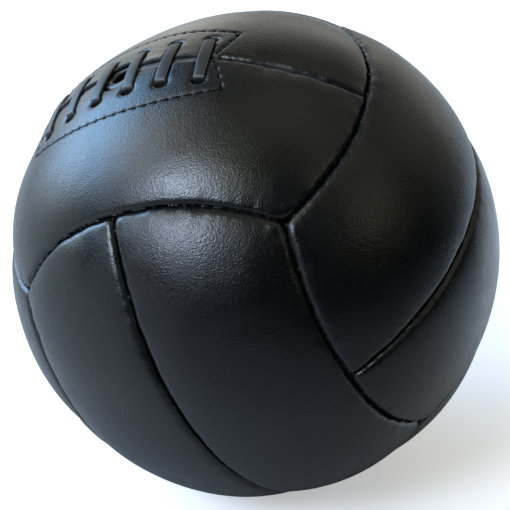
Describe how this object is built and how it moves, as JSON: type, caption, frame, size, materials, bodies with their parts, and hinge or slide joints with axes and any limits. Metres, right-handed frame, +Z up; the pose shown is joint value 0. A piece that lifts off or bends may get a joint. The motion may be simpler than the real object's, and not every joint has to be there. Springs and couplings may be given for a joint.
{
  "type": "laced medicine ball",
  "caption": "Black leather medicine ball: crowned panels with stitched seams, a laced slit with a valve opening, and a small flat where it rests.",
  "frame": {"origin": "middle of the flat that the ball rests on", "axes": "+Z up as the ball lies on its resting flat; the laced slit is tipped about 32 degrees from +Z, towards -X and -Y"},
  "size_m": [0.2406, 0.242, 0.2399],
  "materials": {
    "black_leather": "semi-matt fine-grained black leather",
    "facing_leather": "matt black leather, flesh side inwards",
    "lace_leather": "flat cut leather with paler raw edges",
    "lining_cloth": "unbleached cotton",
    "waxed_thread": "waxed black thread",
    "bladder_rubber": "matt black moulded rubber",
    "valve_rubber": "matt black rubber"
  },
  "bodies": {
    "root": {"bladder": "bladder_rubber", "facing_back": "facing_leather", "facing_front": "facing_leather", "lace": "lace_leather", "lining_back_left": "lining_cloth", "lining_back_right": "lining_cloth", "lining_base_back": "lining_cloth", "lining_base_front": "lining_cloth", "lining_front_left": "lining_cloth", "lining_front_right": "lining_cloth", "lining_laced_back": "lining_cloth", "lining_laced_front": "lining_cloth", "lining_left_lower": "lining_cloth", "lining_left_upper": "lining_cloth", "lining_right_lower": "lining_cloth", "lining_right_upper": "lining_cloth", "outline_stitching_back": "waxed_thread", "outline_stitching_front": "waxed_thread", "panel_back_left": "black_leather", "panel_back_right": "black_leather", "panel_base_back": "black_leather", "panel_base_front": "black_leather", "panel_front_left": "black_leather", "panel_front_right": "black_leather", "panel_laced_back": "black_leather", "panel_laced_front": "black_leather", "panel_left_lower": "black_leather", "panel_left_upper": "black_leather", "panel_right_lower": "black_leather", "panel_right_upper": "black_leather", "seam_thread_back_base": "waxed_thread", "seam_thread_back_laced": "waxed_thread", "seam_thread_back_middle": "waxed_thread", "seam_thread_base_left": "waxed_thread", "seam_thread_base_middle": "waxed_thread", "seam_thread_base_right": "waxed_thread", "seam_thread_front_base": "waxed_thread", "seam_thread_front_laced": "waxed_thread", "seam_thread_front_middle": "waxed_thread", "seam_thread_laced_left": "waxed_thread", "seam_thread_laced_left_end": "waxed_thread", "seam_thread_laced_right": "waxed_thread", "seam_thread_laced_right_end": "waxed_thread", "seam_thread_left_back": "waxed_thread", "seam_thread_left_front": "waxed_thread", "seam_thread_left_middle": "waxed_thread", "seam_thread_right_back": "waxed_thread", "seam_thread_right_front": "waxed_thread", "seam_thread_right_middle": "waxed_thread", "tongue": "facing_leather", "valve": "valve_rubber"}
  },
  "joints": []
}
